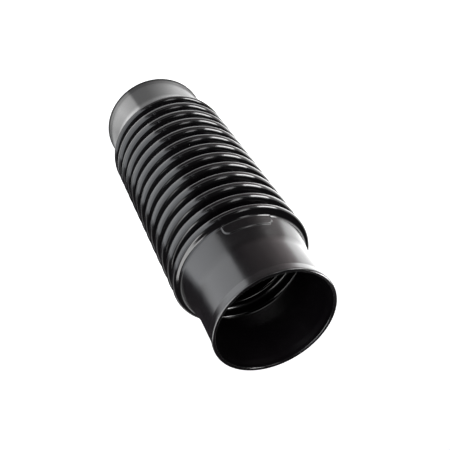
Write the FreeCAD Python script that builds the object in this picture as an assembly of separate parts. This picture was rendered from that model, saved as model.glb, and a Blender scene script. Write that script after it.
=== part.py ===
import FreeCAD, Part
import math
import os

# Flexible blower tube: one blow-moulded skin with a plain cuff at each end and a run of bellows between.
# Millimetres. The tube stands on its wide cuff: +Z is its axis, and z = 0 is the wide cuff's rim.

# Lengths along the axis, from the wide rim up
wide_end = 45.1             # rim to the first ring
pitch = 12.72               # from one ring to the next
ring_count = 13
narrow_end = 52.26          # last ring to the other rim

# Bellows section, as outside sizes
crest_radius = 47.0
crest_width = 5.9           # a ring's top, between the sharp corners before rounding
crest_round = 3.9           # a ring's top is nearly one full round
valley_radius = 40.0        # bottom of a groove
valley_round = 1.7          # a groove's bottom is one round
end_crest_cut = 1.4         # how much an end ring's top falls short on the cuff's side

# Cuffs
wide_cuff_radius = 40.7
wide_lip_radius = 41.5
narrow_cuff_radius = 38.8
narrow_lip_radius = 39.7
lip_height = 1.6            # straight outer band at the rim
lip_taper = 5.2             # slope from the band down to the cuff
lip_round = 0.8             # edges of the rim
band_round = 2.0            # where the band turns into the slope
taper_round = 2.5           # where the slope runs out on the cuff

# Shoulders: an end ring's sloping face, then a cone that runs out on the cuff
shoulder_slope = 0.45       # along the axis for each millimetre inwards
wide_cone_share = 0.35      # how much of the step from the cuff to a ring's top the cone climbs
narrow_cone_share = 0.44
root_round = 3.4
cone_slope = 0.2            # inwards for each millimetre along the axis
cone_round = 30.0           # where the cone runs out

# Wall thickness
cuff_wall = 2.0
lip_wall = 2.3
bellows_wall = 1.6

# Shallow raised pad moulded on the narrow end's cone, against the shoulder
pad_height = 0.4
pad_width = 31.0            # round the cone
pad_reach = 7.3             # along the axis, from the root
pad_corner = 4.2
pad_azimuth = -19.8         # degrees from the mould's parting plane

first_ring_z = wide_end
last_ring_z = first_ring_z + (ring_count - 1) * pitch
tube_length = last_ring_z + narrow_end
wide_shoulder_z = first_ring_z - crest_width / 2 + end_crest_cut
narrow_shoulder_z = last_ring_z + crest_width / 2 - end_crest_cut
wide_root_radius = wide_cuff_radius + wide_cone_share * (crest_radius - wide_cuff_radius)
narrow_root_radius = narrow_cuff_radius + narrow_cone_share * (crest_radius - narrow_cuff_radius)
wide_root_z = wide_shoulder_z - (crest_radius - wide_root_radius) * shoulder_slope
narrow_root_z = narrow_shoulder_z + (crest_radius - narrow_root_radius) * shoulder_slope
wide_foot_z = wide_root_z - (wide_root_radius - wide_cuff_radius) / cone_slope
narrow_foot_z = narrow_root_z + (narrow_root_radius - narrow_cuff_radius) / cone_slope


def flank_lean():
    """Angle between a flank and the plane across the tube: the flank leaves the sharp corner
    of a ring's top and just touches the round of the groove."""
    height = crest_radius - valley_radius - valley_round
    run = (pitch - crest_width) / 2
    return math.atan2(run, height) - math.asin(valley_round / math.hypot(run, height))


def outer_corners():
    """Outside corners from the bottom rim to the top one, each as radius, z, rounding and the
    wall thickness of the straight that follows it."""
    groove_tip = valley_radius + valley_round - valley_round / math.sin(flank_lean())
    wide_taper_end = lip_height + lip_taper
    narrow_taper_end = tube_length - lip_height - lip_taper
    corners = [
        (wide_lip_radius, 0.0, lip_round, lip_wall),
        (wide_lip_radius, lip_height, band_round, cuff_wall),
        (wide_cuff_radius, wide_taper_end, taper_round, cuff_wall),
        (wide_cuff_radius, wide_foot_z, cone_round, cuff_wall),
        (wide_root_radius, wide_root_z, root_round, bellows_wall),
    ]
    for i in range(ring_count):
        ring_z = first_ring_z + i * pitch
        lower_z = ring_z - crest_width / 2
        upper_z = ring_z + crest_width / 2
        if i == 0:
            lower_z = wide_shoulder_z
        if i == ring_count - 1:
            upper_z = narrow_shoulder_z
        corners.append((crest_radius, lower_z, crest_round, bellows_wall))
        corners.append((crest_radius, upper_z, crest_round, bellows_wall))
        if i < ring_count - 1:
            corners.append((groove_tip, ring_z + pitch / 2, valley_round, bellows_wall))
    corners += [
        (narrow_root_radius, narrow_root_z, root_round, cuff_wall),
        (narrow_cuff_radius, narrow_foot_z, cone_round, cuff_wall),
        (narrow_cuff_radius, narrow_taper_end, taper_round, cuff_wall),
        (narrow_lip_radius, tube_length - lip_height, band_round, lip_wall),
        (narrow_lip_radius, tube_length, lip_round, lip_wall),
    ]
    return corners


def inward_line(start, end, distance):
    """A straight of the section moved by a distance to the air side, as a point and a unit direction."""
    length = math.hypot(end[0] - start[0], end[1] - start[1])
    along = ((end[0] - start[0]) / length, (end[1] - start[1]) / length)
    return (start[0] - along[1] * distance, start[1] + along[0] * distance), along


def crossing(line_a, line_b):
    (ax, ay), (ux, uy) = line_a
    (bx, by), (vx, vy) = line_b
    step = ((bx - ax) * vy - (by - ay) * vx) / (ux * vy - uy * vx)
    return ax + ux * step, ay + uy * step


def round_under(line_a, line_b, tip_radius, top_radius):
    """Rounding that touches both lines of a ring's inside and reaches up to top_radius."""
    back = (-line_a[1][0], -line_a[1][1])
    ahead = line_b[1]
    half = math.acos(back[0] * ahead[0] + back[1] * ahead[1]) / 2
    inward = -(back[0] + ahead[0]) / (2 * math.cos(half))
    return (tip_radius - top_radius) / (inward / math.sin(half) - 1)


def inner_corners(corners):
    """Corners of the inside face: each straight of the skin moved in by its own wall thickness.
    Inside a ring the two flanks meet in one round, so a ring's top has no straight of its own there."""
    straights = [(a, b) for a, b in zip(corners, corners[1:]) if not a[0] == b[0] == crest_radius]
    lines = [inward_line(a, b, a[3]) for a, b in straights]
    found = [(corners[0][0] - lip_wall, 0.0, lip_round)]
    for (before, here), (start, after), line_a, line_b in zip(straights, straights[1:], lines, lines[1:]):
        radius, z = crossing(line_a, line_b)
        turn = line_a[1][0] * line_b[1][1] - line_a[1][1] * line_b[1][0]
        if here is not start:
            rounding = round_under(line_a, line_b, radius, crest_radius - bellows_wall)
        elif turn < 0:
            rounding = here[2] + (before[3] + here[3]) / 2
        else:
            rounding = here[2]
        found.append((radius, z, rounding))
    found.append((corners[-1][0] - lip_wall, tube_length, lip_round))
    return found


def rounded_wire(corners):
    """Closed wire in the XZ plane through the corners (radius, z, rounding), with tangent arcs.
    Where two rounds don't fit on the straight between them, both give way."""
    points = [FreeCAD.Vector(radius, 0, z) for radius, z, rounding in corners]
    count = len(points)
    backs = [(points[i - 1] - points[i]).normalize() for i in range(count)]
    aheads = [(points[(i + 1) % count] - points[i]).normalize() for i in range(count)]
    halves = [back.getAngle(ahead) / 2 for back, ahead in zip(backs, aheads)]
    reaches = [corner[2] / math.tan(half) for corner, half in zip(corners, halves)]
    for i in range(count):
        room = 0.98 * points[i - 1].distanceToPoint(points[i])
        share = min(1.0, room / (reaches[i - 1] + reaches[i]))
        reaches[i - 1] *= share
        reaches[i] *= share
    entries = [points[i] + backs[i] * reaches[i] for i in range(count)]
    leaves = [points[i] + aheads[i] * reaches[i] for i in range(count)]
    edges = []
    for i in range(count):
        bisector = (backs[i] + aheads[i]).normalize()
        rounding = reaches[i] * math.tan(halves[i])
        middle = points[i] + bisector * (rounding / math.sin(halves[i]) - rounding)
        edges.append(Part.Arc(entries[i], middle, leaves[i]).toShape())
        edges.append(Part.LineSegment(leaves[i], entries[(i + 1) % count]).toShape())
    return Part.Wire(edges)


def tube_body():
    outer = outer_corners()
    inner = inner_corners(outer)
    section = [corner[:3] for corner in outer] + inner[::-1]
    face = Part.Face(rounded_wire(section))
    return face.revolve(FreeCAD.Vector(0, 0, 0), FreeCAD.Vector(0, 0, 1), 360)


def cone_radius(z):
    """Outside radius of the narrow end's cone."""
    return narrow_root_radius - cone_slope * (z - narrow_root_z)


def raised_pad():
    """A patch of a thin conical ring, cut to a plan with rounded free corners. It starts within the
    hollow corner and is half sunk in the cone's wall."""
    low = narrow_root_z - pad_height
    top = narrow_root_z + pad_reach
    outline = [(cone_radius(low) - cuff_wall / 2, low), (cone_radius(low) + pad_height, low),
               (cone_radius(top) + pad_height, top), (cone_radius(top) - cuff_wall / 2, top)]
    points = [FreeCAD.Vector(radius, 0, z) for radius, z in outline]
    strip = Part.Face(Part.makePolygon(points + points[:1]))
    ring = strip.revolve(FreeCAD.Vector(0, 0, 0), FreeCAD.Vector(0, 0, 1), 360)
    corner = FreeCAD.Vector(0, -pad_width / 2, low)
    block = Part.makeBox(crest_radius, pad_width, top - low, corner)
    free_corners = [edge for edge in block.Edges
                    if min(v.Z for v in edge.Vertexes) > top - pad_height
                    and abs(edge.Vertexes[0].X - edge.Vertexes[1].X) > pad_height]
    pad = ring.common(block.makeFillet(pad_corner, free_corners))
    pad.rotate(FreeCAD.Vector(0, 0, 0), FreeCAD.Vector(0, 0, 1), pad_azimuth)
    return pad


os.makedirs("parts", exist_ok=True)
tube = tube_body().fuse(raised_pad())
print("length", round(tube_length, 2), "solids", len(tube.Solids), "valid", tube.isValid(),
      "volume cm3", round(tube.Volume / 1000, 1))
tube.Solids[0].exportStep("parts/bellows_tube.step")
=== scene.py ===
import bpy
import math
import numpy as np
from mathutils import Matrix, Vector


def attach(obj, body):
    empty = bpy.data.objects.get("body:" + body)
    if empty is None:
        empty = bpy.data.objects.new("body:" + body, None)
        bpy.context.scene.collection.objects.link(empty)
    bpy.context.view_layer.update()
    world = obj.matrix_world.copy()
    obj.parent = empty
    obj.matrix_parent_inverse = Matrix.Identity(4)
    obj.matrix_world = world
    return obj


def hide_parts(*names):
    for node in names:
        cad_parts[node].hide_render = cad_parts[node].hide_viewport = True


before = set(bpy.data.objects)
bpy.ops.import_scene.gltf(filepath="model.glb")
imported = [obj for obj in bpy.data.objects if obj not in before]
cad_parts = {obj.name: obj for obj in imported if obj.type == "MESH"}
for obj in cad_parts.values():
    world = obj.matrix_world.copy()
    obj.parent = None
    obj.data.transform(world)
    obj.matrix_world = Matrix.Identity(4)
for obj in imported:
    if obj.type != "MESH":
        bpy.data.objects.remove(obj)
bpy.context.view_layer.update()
mm = 0.001

# Camera: it looks down into the narrow mouth, turned well past level

cameraView = {
    "azimuth": 3.25,            # degrees round the tube from the mould's parting plane
    "outward": 301.68,          # mm from the tube's axis
    "height": 482.32,
    "aimAt": (0.32, -4.49, 155.84),
    "roll": 148.16,             # degrees from level
    "lens": 51.805,
    "sensor": 36.0,
    "clipStart": 0.01,          # metres
}


def makeCamera(view):
    turn = math.radians(view["azimuth"])
    place = Vector((view["outward"] * math.cos(turn), view["outward"] * math.sin(turn), view["height"]))
    ahead = (Vector(view["aimAt"]) - place).normalized()
    level = ahead.cross(Vector((0, 0, 1))).normalized()
    upright = level.cross(ahead)
    roll = math.radians(view["roll"])
    right = level * math.cos(roll) + upright * math.sin(roll)
    up = upright * math.cos(roll) - level * math.sin(roll)
    data = bpy.data.cameras.new("camera")
    data.lens = view["lens"]
    data.sensor_width = view["sensor"]
    data.clip_start = view["clipStart"]
    camera = bpy.data.objects.new("camera", data)
    bpy.context.scene.collection.objects.link(camera)
    facing = Matrix((right, up, -ahead)).transposed().to_4x4()
    camera.matrix_world = Matrix.Translation(place * mm) @ facing
    bpy.context.scene.camera = camera


makeCamera(cameraView)
print("camera made")

# The tube's skin, in mm: its section is given by radius and height along the axis

tubeShape = {
    "wideEnd": 45.1,            # rim to the first ring
    "pitch": 12.72,
    "ringCount": 13,
    "narrowEnd": 52.26,         # last ring to the other rim
    "crestRadius": 47.0,
    "crestWidth": 5.9,
    "crestRound": 3.9,
    "valleyRadius": 40.0,
    "valleyRound": 1.7,
    "endCrestCut": 1.4,         # how much an end ring's top falls short on the cuff's side
    "wideCuffRadius": 40.7,
    "wideLipRadius": 41.5,
    "narrowCuffRadius": 38.8,
    "narrowLipRadius": 39.7,
    "lipHeight": 1.6,
    "lipTaper": 5.2,
    "lipRound": 0.8,
    "bandRound": 2.0,
    "taperRound": 2.5,
    "shoulderSlope": 0.45,      # height for each mm inwards
    "wideConeShare": 0.35,      # how much of the step from the cuff to a ring's top the cone climbs
    "narrowConeShare": 0.44,
    "rootRound": 3.4,
    "coneSlope": 0.2,           # mm inwards for each mm of height
    "coneRound": 30.0,
    "cuffWall": 2.0,
    "lipWall": 2.3,
    "bellowsWall": 1.6,
    "seamHeight": 0.10,         # ridge left where the mould's halves meet
    "seamHalfWidth": 0.28,
    "seamDip": 0.11,            # hollow on both sides of it, deeper than the ridge is high
    "seamDipHalfWidth": 0.9,
    "seamPastRoot": 4.0,        # how far it runs on up the narrow end's cone
    "seamFade": 3.0,            # mm over which it fades at its ends
    "padHeight": 0.4,
    "padWidth": 31.0,
    "padReach": 7.3,
    "padCorner": 4.2,
    "padAzimuth": -19.8,
    "padEdge": 0.4,             # half the width of the pad's sloping edge
    "padBelow": 0.5,            # how far it runs on below the cone's root
    "topFree": 0.5,             # mm of the outside below the narrow rim's top with nothing raised on it
    "straightShare": 0.98,      # of a straight, what the rounds at its two ends may take together
}

meshRows = {
    "outerStart": 3,            # rows of a rounding, to which its bend adds more
    "innerStart": 2,
    "outerTurn": 24,            # degrees of bend for each row that is added
    "innerTurn": 36,
    "fewest": 3,
    "apart": 0.05,              # least distance in mm between an extra row and the next one
    "padRows": ((2.0, 6.2, 0.6), (6.55, 8.3, 0.14), (8.7, 9.4, 0.6), (10.2, 10.5, 0.6)),   # mm past the root
}

meshColumns = {
    "step": 2.4,                # degrees round the tube
    "apart": 1.0,               # least distance between a plain column and a fine one
    "seam": (-1.6, -1.15, -0.8, -0.5, -0.25, 0.0, 0.25, 0.5, 0.8, 1.15, 1.6),
    "pad": ((2.0, 3.3, 0.4), (-5.5, -1.9, 0.6), (-43.2, -33.9, 0.6)),
}


def heights(t):
    # sharp outer corners of the two end rings, the two roots with their radii, the two cone feet, the top
    crest, wide, narrow = t["crestRadius"], t["wideCuffRadius"], t["narrowCuffRadius"]
    lowRadius = wide + t["wideConeShare"] * (crest - wide)
    highRadius = narrow + t["narrowConeShare"] * (crest - narrow)
    first = t["wideEnd"]
    last = first + (t["ringCount"] - 1) * t["pitch"]
    half = t["crestWidth"] / 2 - t["endCrestCut"]
    low, high = first - half, last + half
    lowRoot = low - (crest - lowRadius) * t["shoulderSlope"]
    highRoot = high + (crest - highRadius) * t["shoulderSlope"]
    lowFoot = lowRoot - (lowRadius - wide) / t["coneSlope"]
    highFoot = highRoot + (highRadius - narrow) / t["coneSlope"]
    return {"first": first, "low": low, "high": high, "lowRoot": lowRoot, "highRoot": highRoot,
            "lowRadius": lowRadius, "highRadius": highRadius, "lowFoot": lowFoot, "highFoot": highFoot,
            "top": last + t["narrowEnd"]}


def outerCorners(t):
    # rows of radius, height, rounding, wall;
    # ring i has its two top corners and then the sharp tip of the groove above it
    z = heights(t)
    rise = t["crestRadius"] - t["valleyRadius"] - t["valleyRound"]
    run = (t["pitch"] - t["crestWidth"]) / 2
    lean = math.atan2(run, rise) - math.asin(t["valleyRound"] / math.hypot(run, rise))
    tip = t["valleyRadius"] + t["valleyRound"] - t["valleyRound"] / math.sin(lean)
    ringZ = z["first"] + t["pitch"] * np.arange(t["ringCount"])
    lower = ringZ - t["crestWidth"] / 2
    upper = ringZ + t["crestWidth"] / 2
    lower[0] = z["low"]
    upper[-1] = z["high"]
    wall = np.full(t["ringCount"], t["bellowsWall"])
    crest = np.full_like(wall, t["crestRadius"])
    crestRound = np.full_like(wall, t["crestRound"])
    groove = np.full_like(wall, tip)
    grooveRound = np.full_like(wall, t["valleyRound"])
    rings = np.stack([
        np.stack([crest, lower, crestRound, wall], 1),
        np.stack([crest, upper, crestRound, wall], 1),
        np.stack([groove, ringZ + t["pitch"] / 2, grooveRound, wall], 1),
    ], 1).reshape(-1, 4)[:-1]
    band, taper = t["lipHeight"], t["lipHeight"] + t["lipTaper"]
    start = [
        (t["wideLipRadius"], 0, t["lipRound"], t["lipWall"]),
        (t["wideLipRadius"], band, t["bandRound"], t["cuffWall"]),
        (t["wideCuffRadius"], taper, t["taperRound"], t["cuffWall"]),
        (t["wideCuffRadius"], z["lowFoot"], t["coneRound"], t["cuffWall"]),
        (z["lowRadius"], z["lowRoot"], t["rootRound"], t["bellowsWall"]),
    ]
    end = [
        (z["highRadius"], z["highRoot"], t["rootRound"], t["cuffWall"]),
        (t["narrowCuffRadius"], z["highFoot"], t["coneRound"], t["cuffWall"]),
        (t["narrowCuffRadius"], z["top"] - taper, t["taperRound"], t["cuffWall"]),
        (t["narrowLipRadius"], z["top"] - band, t["bandRound"], t["lipWall"]),
        (t["narrowLipRadius"], z["top"], t["lipRound"], t["lipWall"]),
    ]
    return np.concatenate([start, rings, end])


def unit(v):
    # v / |v|
    return v / np.linalg.norm(v, axis=-1, keepdims=True)


def crossed(a, b):
    # ax by - ay bx
    return a[..., 0] * b[..., 1] - a[..., 1] * b[..., 0]


def innerCorners(t, outer):
    # every straight moved in by its wall w, p + w (-uz, ur), then crossed with the next one;
    # a ring's top has no straight inside, there the two flanks meet in one round
    top = (outer[:-1, 0] == t["crestRadius"]) & (outer[1:, 0] == t["crestRadius"])
    a, b = outer[:-1][~top], outer[1:][~top]
    u = unit(b[:, :2] - a[:, :2])
    p = a[:, :2] + a[:, 3:4] * np.stack([-u[:, 1], u[:, 0]], 1)
    turn = crossed(u[:-1], u[1:])
    step = crossed(p[1:] - p[:-1], u[1:]) / turn
    points = p[:-1] + u[:-1] * step[:, None]
    rounding = b[:-1, 2] + np.where(turn < 0, (a[:-1, 3] + a[1:, 3]) / 2, 0)
    half = np.arccos(np.clip(-(u[:-1] * u[1:]).sum(1), -1, 1)) / 2
    inward = (u[:-1, 0] - u[1:, 0]) / (2 * np.cos(half))
    full = (points[:, 0] - t["crestRadius"] + t["bellowsWall"]) / (inward / np.sin(half) - 1)
    underRing = b[:-1, 1] != a[1:, 1]
    rounding = np.where(underRing, full, rounding)
    found = np.column_stack([points, rounding])
    first = [(outer[0, 0] - t["lipWall"], 0, t["lipRound"])]
    last = [(outer[-1, 0] - t["lipWall"], outer[-1, 1], t["lipRound"])]
    return np.concatenate([first, found, last])


def neighbours(points):
    # unit vectors from each corner back to the last one and ahead to the next one
    return unit(np.roll(points, 1, 0) - points), unit(np.roll(points, -1, 0) - points)


def roundedLoop(corners, counts, straightShare):
    # corner P between unit vectors back B and ahead A, half angle h, reach = R / tan h; the arc is
    # C + R (-m cos f + n sin f), m towards the centre, n along the travel, f from -(90 - h) to 90 - h;
    # where two rounds don't fit on the straight between them, both give way
    points, rounding = corners[:, :2], corners[:, 2]
    back, ahead = neighbours(points)
    half = np.arccos(np.clip((back * ahead).sum(1), -1, 1)) / 2
    reach = rounding / np.tan(half)
    room = straightShare * np.linalg.norm(np.roll(points, -1, 0) - points, axis=1)
    share = np.minimum(1, room / (reach + np.roll(reach, -1)))
    reach = reach * np.minimum(share, np.roll(share, 1))
    radius = reach * np.tan(half)
    m = unit(back + ahead)
    n = unit(ahead - back)
    centre = points + m * (radius / np.sin(half))[:, None]
    k = np.repeat(np.arange(len(points)), counts)
    first = np.repeat(np.cumsum(counts) - counts, counts)
    share = (np.arange(len(k)) - first) / (counts[k] - 1)
    f = ((2 * share - 1) * (math.pi / 2 - half[k]))[:, None]
    place = centre[k] + radius[k][:, None] * (n[k] * np.sin(f) - m[k] * np.cos(f))
    travel = m[k] * np.sin(f) + n[k] * np.cos(f)
    return place, travel


def tubeSection(t, rows):
    # one closed loop: outside from the wide rim up, then inside back down
    outer = outerCorners(t)
    inner = innerCorners(t, outer)[::-1]
    corners = np.concatenate([outer[:, :3], inner])
    back, ahead = neighbours(corners[:, :2])
    bend = np.degrees(np.arccos(np.clip(-(back * ahead).sum(1), -1, 1)))
    counts = np.where(np.arange(len(corners)) < len(outer),
                      rows["outerStart"] + np.round(bend / rows["outerTurn"]),
                      rows["innerStart"] + np.round(bend / rows["innerTurn"]))
    return roundedLoop(corners, np.maximum(counts, rows["fewest"]).astype(int), t["straightShare"])


def spread(ranges):
    return np.concatenate([np.arange(*each) for each in ranges])


def refined(place, travel, levels, apart):
    # extra rows where the outside passes the given heights, unless a row lies closer than the distance apart
    along = np.concatenate([[0], np.cumsum(np.linalg.norm(np.diff(place, axis=0), axis=1))])
    top = int(place[:, 1].argmax())
    extra = np.interp(levels, place[:top, 1], along[:top])
    s = np.concatenate([along, extra[np.abs(extra[:, None] - along[None]).min(1) > apart]])
    s.sort()
    both = np.stack([np.interp(s, along, c) for c in np.concatenate([place, travel], 1).T], 1)
    return s, both[:, :2], unit(both[:, 2:])


def columnAzimuths(c):
    # degrees, closer together at the two parting lines and at the pad's ends
    seam = np.array(c["seam"])
    fine = np.concatenate([seam, seam + 180, spread(c["pad"])])
    fine = (fine + 180) % 360 - 180
    plain = np.arange(-180, 180, c["step"])
    apart = np.abs((plain[:, None] - fine[None] + 180) % 360 - 180).min(1)
    return np.sort(np.concatenate([plain[apart > c["apart"]], fine]))


def smooth(x):
    # x^2 (3 - 2 x), held between 0 and 1
    x = np.clip(x, 0, 1)
    return x * x * (3 - 2 * x)


def seamRise(t, z, radius, level, azimuth):
    # h exp(-(x / w)^2) - g exp(-(x / v)^2) at both parting lines, from the wide lip to the narrow cone
    off = radius * np.radians((azimuth + 90) % 180 - 90)
    start, end = t["lipHeight"] + t["lipTaper"], z["highRoot"] + t["seamPastRoot"]
    between = smooth((level - start) / t["seamFade"]) * smooth((end - level) / t["seamFade"])
    ridge = t["seamHeight"] * np.exp(-(off / t["seamHalfWidth"]) ** 2)
    return (ridge - t["seamDip"] * np.exp(-(off / t["seamDipHalfWidth"]) ** 2)) * between


def padRise(t, z, radius, level, normal, azimuth):
    # (K + p - R) / (nr + k nz) S(-d), with K the cone's radius at the height, k its slope and d the
    # distance outside a patch with rounded free corners
    cone = z["highRadius"] - t["coneSlope"] * (level - z["highRoot"])
    full = (cone + t["padHeight"] - radius) / (normal[:, :1] + t["coneSlope"] * normal[:, 1:])
    full = np.where(level > z["highRoot"] - t["padBelow"], np.clip(full, 0, 1), 0)
    turn = np.radians(azimuth - t["padAzimuth"])
    across = radius * np.sin(turn)
    qx = np.abs(across) - (t["padWidth"] / 2 - t["padCorner"])
    qz = level - (z["highRoot"] + t["padReach"] - t["padCorner"])
    d = np.hypot(np.maximum(qx, 0), np.maximum(qz, 0)) + np.minimum(np.maximum(qx, qz), 0) - t["padCorner"]
    return full * smooth(0.5 - d / (2 * t["padEdge"])) * (np.cos(turn) > 0)


def tubeSkin(t, rows, columns):
    # P(s, a) = (R cos a, R sin a, Z), with (R, Z) the section point plus its normal n times the rise h;
    # N = n - T dh/ds - E dh/da / R, T along the section and E round the axis
    place, travel = tubeSection(t, rows)
    levels = heights(t)
    s, place, travel = refined(place, travel, levels["highRoot"] + spread(rows["padRows"]), rows["apart"])
    azimuth = columnAzimuths(columns)
    a = np.radians(azimuth)
    normal = np.stack([travel[:, 1], -travel[:, 0]], 1)
    outside = (s <= s[place[:, 1].argmax()] - t["topFree"]).astype(float)
    r, level = place[:, :1], place[:, 1:]
    rise = seamRise(t, levels, r, level, azimuth[None]) + padRise(t, levels, r, level, normal, azimuth[None])
    rise = rise * outside[:, None]
    perS = np.gradient(rise, s, axis=0)
    perA = np.gradient(rise, a, axis=1) / r
    radius = r + normal[:, :1] * rise
    z = level + normal[:, 1:] * rise
    cosA, sinA = np.cos(a)[None], np.sin(a)[None]
    points = np.stack([radius * cosA, radius * sinA, z], -1) * mm
    alongR = normal[:, :1] - travel[:, :1] * perS
    alongZ = normal[:, 1:] - travel[:, 1:] * perS
    normals = unit(np.stack([alongR * cosA + perA * sinA, alongR * sinA - perA * cosA, alongZ], -1))
    return points, normals


def gridMesh(name, points, normals):
    # both directions closed: quad (i, j) (i, j + 1) (i + 1, j + 1) (i + 1, j)
    rows, cols = points.shape[:2]
    i, j = np.meshgrid(np.arange(rows), np.arange(cols), indexing="ij")
    up, side = (i + 1) % rows, (j + 1) % cols
    quads = np.stack([i * cols + j, i * cols + side, up * cols + side, up * cols + j], -1).reshape(-1, 4)
    mesh = bpy.data.meshes.new(name)
    mesh.from_pydata(points.reshape(-1, 3), [], quads)
    mesh.shade_smooth()
    mesh.normals_split_custom_set_from_vertices(normals.reshape(-1, 3))
    mesh.update()
    piece = bpy.data.objects.new(name, mesh)
    bpy.context.scene.collection.objects.link(piece)
    return piece


points, normals = tubeSkin(tubeShape, meshRows, meshColumns)
tube = gridMesh("blowerTube", points, normals)
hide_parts("bellows_tube")
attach(tube, "root")
print("tube skin", points.shape, "triangles", 2 * points.shape[0] * points.shape[1])

# Black moulded plastic

plastic = {
    "darkTone": (0.0011, 0.0008, 0.0012, 1),
    "paleTone": (0.0022, 0.0018, 0.0022, 1),
    "cloudScale": 60,           # slow change in tone and roughness
    "cloudRange": (0.3, 0.7),   # the cloud's values that take the two roughnesses
    "roughLow": 0.12,           # bellows
    "roughHigh": 0.17,
    "cuffRougher": 0.07,        # added on the cuffs
    "lowCuffEnd": 0.0415,       # heights in metres between which the bellows lie
    "highCuffStart": 0.2005,
    "cuffBlend": 0.003,
    "ior": 1.5,
    "dustTone": (0.30, 0.29, 0.27, 1),
    "dustScale": 140,           # cells to the metre, each with room for one speck
    "dustSize": 0.036,          # radius of a speck, as a share of its cell
    "dustShare": 0.85,          # this share of the cells stays clean
    "dustRougher": 0.4,
    "grainScale": 420,
    "grainDepth": 0.012,        # mm
    "grainStrength": 0.5,
}


def addNode(tree, kind, **inputs):
    node = tree.nodes.new(kind)
    for name, value in inputs.items():
        node.inputs[name].default_value = value
    return node


def feed(tree, slots, values):
    # each value is a socket or a plain value
    for slot, value in zip(slots, values):
        if isinstance(value, bpy.types.NodeSocket):
            tree.links.new(value, slot)
        else:
            slot.default_value = value


def mathNode(tree, operation, first, second):
    node = tree.nodes.new("ShaderNodeMath")
    node.operation = operation
    feed(tree, node.inputs[:2], (first, second))
    return node.outputs[0]


def mixTone(tree, factor, first, second):
    node = tree.nodes.new("ShaderNodeMix")
    node.data_type = "RGBA"
    feed(tree, (node.inputs["Factor"], node.inputs["A"], node.inputs["B"]), (factor, first, second))
    return node.outputs["Result"]


def mapped(tree, value, fromMin, fromMax, toMin, toMax):
    node = addNode(tree, "ShaderNodeMapRange", **{"From Min": fromMin, "From Max": fromMax,
                                                  "To Min": toMin, "To Max": toMax})
    tree.links.new(value, node.inputs["Value"])
    return node.outputs["Result"]


def mouldedPlastic(p):
    # colour = cloud with sparse specks of dust; roughness = cloud + extra on the cuffs + extra on the dust
    material = bpy.data.materials.new("mouldedPlastic")
    material.use_nodes = True
    tree = material.node_tree
    link = tree.links.new
    shader = tree.nodes["Principled BSDF"]
    where = tree.nodes.new("ShaderNodeTexCoord").outputs["Object"]
    cloud = addNode(tree, "ShaderNodeTexNoise", Scale=p["cloudScale"], Detail=4, Roughness=0.55)
    cells = addNode(tree, "ShaderNodeTexVoronoi", Scale=p["dustScale"])
    grain = addNode(tree, "ShaderNodeTexNoise", Scale=p["grainScale"], Detail=3, Roughness=0.6)
    split = tree.nodes.new("ShaderNodeSeparateXYZ")
    chance = tree.nodes.new("ShaderNodeSeparateColor")
    for node in (cloud, cells, grain, split):
        link(where, node.inputs["Vector"])
    link(cells.outputs["Color"], chance.inputs["Color"])
    dusty = mathNode(tree, "GREATER_THAN", chance.outputs[0], p["dustShare"])
    speck = mathNode(tree, "LESS_THAN", cells.outputs["Distance"], p["dustSize"])
    speck = mathNode(tree, "MULTIPLY", speck, dusty)
    tone = mixTone(tree, cloud.outputs["Fac"], p["darkTone"], p["paleTone"])
    link(mixTone(tree, speck, tone, p["dustTone"]), shader.inputs["Base Color"])
    rough = mapped(tree, cloud.outputs["Fac"], *p["cloudRange"], p["roughLow"], p["roughHigh"])
    low = mapped(tree, split.outputs["Z"], p["lowCuffEnd"], p["lowCuffEnd"] - p["cuffBlend"], 0, 1)
    high = mapped(tree, split.outputs["Z"], p["highCuffStart"], p["highCuffStart"] + p["cuffBlend"], 0, 1)
    cuff = mathNode(tree, "MULTIPLY", mathNode(tree, "MAXIMUM", low, high), p["cuffRougher"])
    rough = mathNode(tree, "ADD", rough, cuff)
    rough = mathNode(tree, "ADD", rough, mathNode(tree, "MULTIPLY", speck, p["dustRougher"]))
    link(rough, shader.inputs["Roughness"])
    bump = addNode(tree, "ShaderNodeBump", Strength=p["grainStrength"], Distance=p["grainDepth"] * mm)
    link(grain.outputs["Fac"], bump.inputs["Height"])
    link(bump.outputs["Normal"], shader.inputs["Normal"])
    shader.inputs["IOR"].default_value = p["ior"]
    return material


tube.data.materials.append(mouldedPlastic(plastic))
print("plastic made")

# Floor and world

paleFloor = {
    "colour": (0.88, 0.88, 0.88, 1),
    "glow": 0.92,               # white seen by camera, glossy and transmission rays only
    "half": 3.0,                # metres from the middle to where the sides turn up
    "sideRun": 0.3,
    "sideHeight": 0.5,
}

room = {
    "colour": (1, 1, 1, 1),
    "strength": 0.06,           # the camera alone sees it as white
}

matteFinish = {"Roughness": 0.9, "Specular IOR Level": 0.1}


def stageMesh(name, corners, faces, material):
    mesh = bpy.data.meshes.new(name)
    mesh.from_pydata(corners, [], faces)
    mesh.materials.append(material)
    piece = bpy.data.objects.new(name, mesh)
    bpy.context.scene.collection.objects.link(piece)
    return piece


def matte(name, colour):
    material = bpy.data.materials.new(name)
    material.use_nodes = True
    shader = material.node_tree.nodes["Principled BSDF"]
    shader.inputs["Base Color"].default_value = colour
    for slot, value in matteFinish.items():
        shader.inputs[slot].default_value = value
    return material, shader


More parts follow.
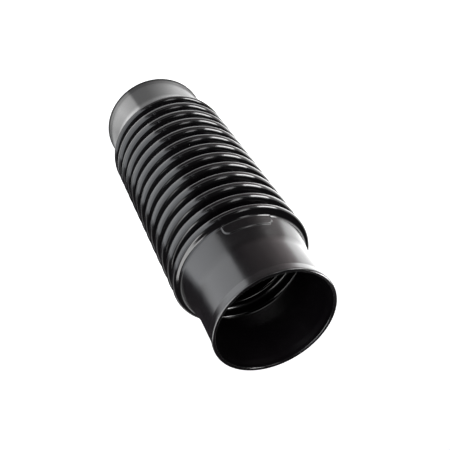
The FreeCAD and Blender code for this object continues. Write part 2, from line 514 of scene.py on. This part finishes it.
def makeFloor(f):
    # a sweep: the floor with its four sides turned up far away
    h, w, top = f["half"], f["half"] + f["sideRun"], f["sideHeight"]
    corners = [(-h, -h, 0), (h, -h, 0), (h, h, 0), (-h, h, 0),
               (-w, -w, top), (w, -w, top), (w, w, top), (-w, w, top)]
    faces = [(0, 1, 2, 3), (1, 0, 4, 5), (2, 1, 5, 6), (3, 2, 6, 7), (0, 3, 7, 4)]
    material, shader = matte("paleFloor", f["colour"])
    tree = material.node_tree
    rays = tree.nodes.new("ShaderNodeLightPath").outputs
    seen = mathNode(tree, "MAXIMUM", rays["Is Camera Ray"], rays["Is Glossy Ray"])
    seen = mathNode(tree, "MAXIMUM", seen, rays["Is Transmission Ray"])
    glow = mathNode(tree, "MULTIPLY", seen, f["glow"])
    shader.inputs["Emission Color"].default_value = (1, 1, 1, 1)
    tree.links.new(glow, shader.inputs["Emission Strength"])
    stageMesh("floor", corners, faces, material)


def makeWorld(w):
    world = bpy.data.worlds.new("studio")
    world.use_nodes = True
    tree = world.node_tree
    back = tree.nodes["Background"]
    back.inputs["Color"].default_value = w["colour"]
    seen = tree.nodes.new("ShaderNodeLightPath").outputs["Is Camera Ray"]
    extra = mathNode(tree, "MULTIPLY", seen, 1 - w["strength"])
    tree.links.new(mathNode(tree, "ADD", extra, w["strength"]), back.inputs["Strength"])
    bpy.context.scene.world = world


makeFloor(paleFloor)
makeWorld(room)
print("floor and world made")

# Sheets on the floor with painted shade and painted light, seen by reflections only; mm and degrees

paintedShadeSheet = {                   # painted shade seen only in the tube's reflections, darkest in the middle
    "azimuths": (-92, -88, -80, -71, -62, -54, -46, -36, -17, -9, 4, 11.8),
    "nearTones": (0.92, 0.92, 0.90, 0.80, 0.60, 0.51, 0.47, 0.40, 0.35, 0.27, 0.17, 0.17),
    "farTones": (0.50, 0.28, 0.14, 0.10, 0.08, 0.08, 0.11, 0.15, 0.20, 0.15, 0.10, 0.10),
    "distances": (130, 215, 336, 395, 470, 700),
    "farShares": (0, 0, 0.25, 0.80, 1, 1),      # how far each distance has gone over to farTones
    "shares": (0.45, 1, 1, 1, 1, 1),            # painted shade, darker close to the tube
    "tint": (1.10, 0.97, 0.98, 1),
    "height": 1.2,
}

# painted shade: dark cards seen only in the tube's reflections, grey at the shade's edge
paintedShadeCards = {
    "shadeEdgeCard": {
        "corners": ((28, 100), (-8, 270), (45, 400), (80, 560), (80, 700), (-800, 200), (-100, 20)),
        "tone": (0.50, 0.49, 0.50, 1),
        "height": 0.7,
    },
    "sideShadeCard": {
        "corners": ((0, 100), (-45, 270), (-10, 400), (15, 560), (15, 700), (-800, 200), (-100, 20)),
        "tone": (0.08, 0.070, 0.074, 1),
        "height": 1.0,
    },
}

paintedLightFootSheet = {                   # glowing sheet close round the foot: painted light seen only in the tube's reflections
    "azimuths": (-120, -60, -50, -40, -30, -20, -10, 8, 12, 13.5, 24, 36, 46, 58, 64, 75, 110),
    "tones": (0.45, 0.56, 0.64, 0.52, 0.40, 0.30, 0.205, 0.20, 0.21,
              0.75, 0.84, 0.90, 0.66, 0.45, 0.32, 0.255, 0.18),
    "distances": (41.6, 43.2, 44.2, 64),
    "shares": (0.04, 0.12, 1, 1),               # painted contact shadow, dark where the rim meets the floor
    "height": 0.5,
    "strength": 4.0,
}

gradedSheet = {
    "round": 110,               # points along its azimuths and its distances
    "out": 60,
    "colour": (0.3, 0.3, 0.3, 1),               # where the tone isn't taken as the colour
}


def hide(piece):
    piece.visible_camera = False
    piece.visible_shadow = False


def makeCard(name, card):
    # a flat card of painted shade, hidden from the camera and casting no shadow
    corners = [(x * mm, y * mm, card["height"] * mm) for x, y in card["corners"]]
    hide(stageMesh(name, corners, [range(len(corners))], matte(name, card["tone"])[0]))


def toneSheet(name, sheet, tones, tint, socket):
    # a sector of a ring whose tone t(r, a) runs evenly between the rows and columns of tones, linear in
    # azimuth a, then in distance r; the colour attribute "tone" takes it to the given shader socket
    azimuths, distances = sheet["azimuths"], sheet["distances"]
    a = np.linspace(azimuths[0], azimuths[-1], gradedSheet["round"])
    r = np.linspace(distances[0], distances[-1], gradedSheet["out"])
    rows = np.stack([np.interp(a, azimuths, row) for row in tones])
    tone = np.stack([np.interp(r, distances, column) for column in rows.T], 1)
    turn = np.radians(a)[None]
    level = np.full(tone.shape, sheet["height"])
    points = np.stack([r[:, None] * np.cos(turn), r[:, None] * np.sin(turn), level], -1)
    i, j = np.meshgrid(np.arange(len(r) - 1), np.arange(len(a) - 1), indexing="ij")
    corner = i * len(a) + j
    quads = np.stack([corner, corner + len(a), corner + len(a) + 1, corner + 1], -1).reshape(-1, 4)
    material, shader = matte(name, gradedSheet["colour"])
    tree = material.node_tree
    attribute = tree.nodes.new("ShaderNodeAttribute")
    attribute.attribute_name = "tone"
    tree.links.new(attribute.outputs["Color"], shader.inputs[socket])
    piece = stageMesh(name, (points.reshape(-1, 3) * mm).tolist(), quads.tolist(), material)
    layer = piece.data.color_attributes.new("tone", "FLOAT_COLOR", "POINT")
    layer.data.foreach_set("color", np.clip(tone.reshape(-1, 1) * np.array(tint)[None], 0, 1).ravel())
    hide(piece)
    return shader


def makePaintedShadeSheet(c):
    # painted shade: tone = k (n (1 - f) + q f) for near tones n, far tones q, far share f and share k
    far, share = np.array(c["farShares"]), np.array(c["shares"])
    tones = np.outer(share * (1 - far), c["nearTones"]) + np.outer(share * far, c["farTones"])
    toneSheet("paintedShadeSheet", c, tones, c["tint"], "Base Color")


def makePaintedLightFootSheet(p):
    # painted light: the tones glow as emission, with painted contact shadow at the rim
    shader = toneSheet("paintedLightBaseSheet", p, np.outer(p["shares"], p["tones"]), (1, 1, 1, 1), "Emission Color")
    shader.inputs["Emission Strength"].default_value = p["strength"]


makePaintedShadeSheet(paintedShadeSheet)
for name, card in paintedShadeCards.items():
    makeCard(name, card)
makePaintedLightFootSheet(paintedLightFootSheet)
print("cards made")

# Lamps, in mm and degrees; brightness is a lamp's radiance

cool = (0.92, 0.95, 1)
white = (1, 1, 1)


def panel(azimuth, along, across, height, brightness, colour=white):
    # just above the floor and facing up; along and across say how far it reaches from the tube's axis in the
    # azimuth's direction and square to it, so its middle is (u cos a - v sin a, u sin a + v cos a)
    turn = math.radians(azimuth)
    u, v = sum(along) / 2, sum(across) / 2
    place = Vector((u * math.cos(turn) - v * math.sin(turn), u * math.sin(turn) + v * math.cos(turn), height))
    facing = Matrix.Rotation(turn, 4, "Z") @ Matrix.Rotation(math.pi, 4, "X")
    return place * mm, facing, along[1] - along[0], across[1] - across[0], brightness, colour


def window(azimuth, out, height, wide, tall, brightness, aim, colour=white):
    # beside the tube at the distance out, turned to face the tube's axis at the height aim
    turn = math.radians(azimuth)
    place = Vector((out * math.cos(turn), out * math.sin(turn), height)) * mm
    ahead = (Vector((0, 0, aim * mm)) - place).normalized()
    return place, ahead.to_track_quat("-Z", "Y").to_matrix().to_4x4(), wide, tall, brightness, colour


lamps = {
    "sideGlow1": panel(8.5, along=(114, 560), across=(3.1, 560), height=2, brightness=0.48, colour=cool),
    "sideGlow2": panel(11.5, along=(102, 560), across=(0, 560), height=3, brightness=0.48, colour=cool),
    "sideGlow3": panel(14.5, along=(86, 560), across=(-3.1, 560), height=4, brightness=0.48, colour=cool),
    "tallWindow": window(48, out=560, height=300, wide=900, tall=600, brightness=2.7, aim=120, colour=cool),
    "rightGlow1": panel(-82, along=(0, 600), across=(-600, 0), height=2, brightness=0.4),
    "rightGlow2": panel(-88, along=(0, 600), across=(-600, 0), height=3, brightness=0.6),
    "rightGlow3": panel(-94, along=(0, 600), across=(-600, 0), height=4, brightness=1.1),
    "sideWindow": window(-68, out=515, height=126, wide=222, tall=168, brightness=19.0, aim=126),
    "sideWindowUpper": window(-68, out=515, height=262, wide=222, tall=100, brightness=5.0, aim=262),
    "upperPatch": window(-38, out=700, height=520, wide=160, tall=400, brightness=4.0, aim=120),
    "mouthSpark": window(-92, out=50, height=270, wide=18, tall=20, brightness=40.0, aim=250),
    "mouthStrip": window(66, out=74, height=279, wide=110, tall=42, brightness=8.0, aim=250),
}


def makeLamp(name, place, facing, wide, tall, brightness, colour):
    # energy = brightness pi area
    data = bpy.data.lights.new(name, "AREA")
    data.shape = "RECTANGLE"
    data.size, data.size_y = wide * mm, tall * mm
    data.energy = brightness * math.pi * data.size * data.size_y
    data.color = colour
    lamp = bpy.data.objects.new(name, data)
    bpy.context.scene.collection.objects.link(lamp)
    lamp.matrix_world = Matrix.Translation(place) @ facing
    lamp.visible_camera = False


for name, lamp in lamps.items():
    makeLamp(name, *lamp)
print("lamps made")

bpy.context.scene.view_settings.view_transform = "Standard"
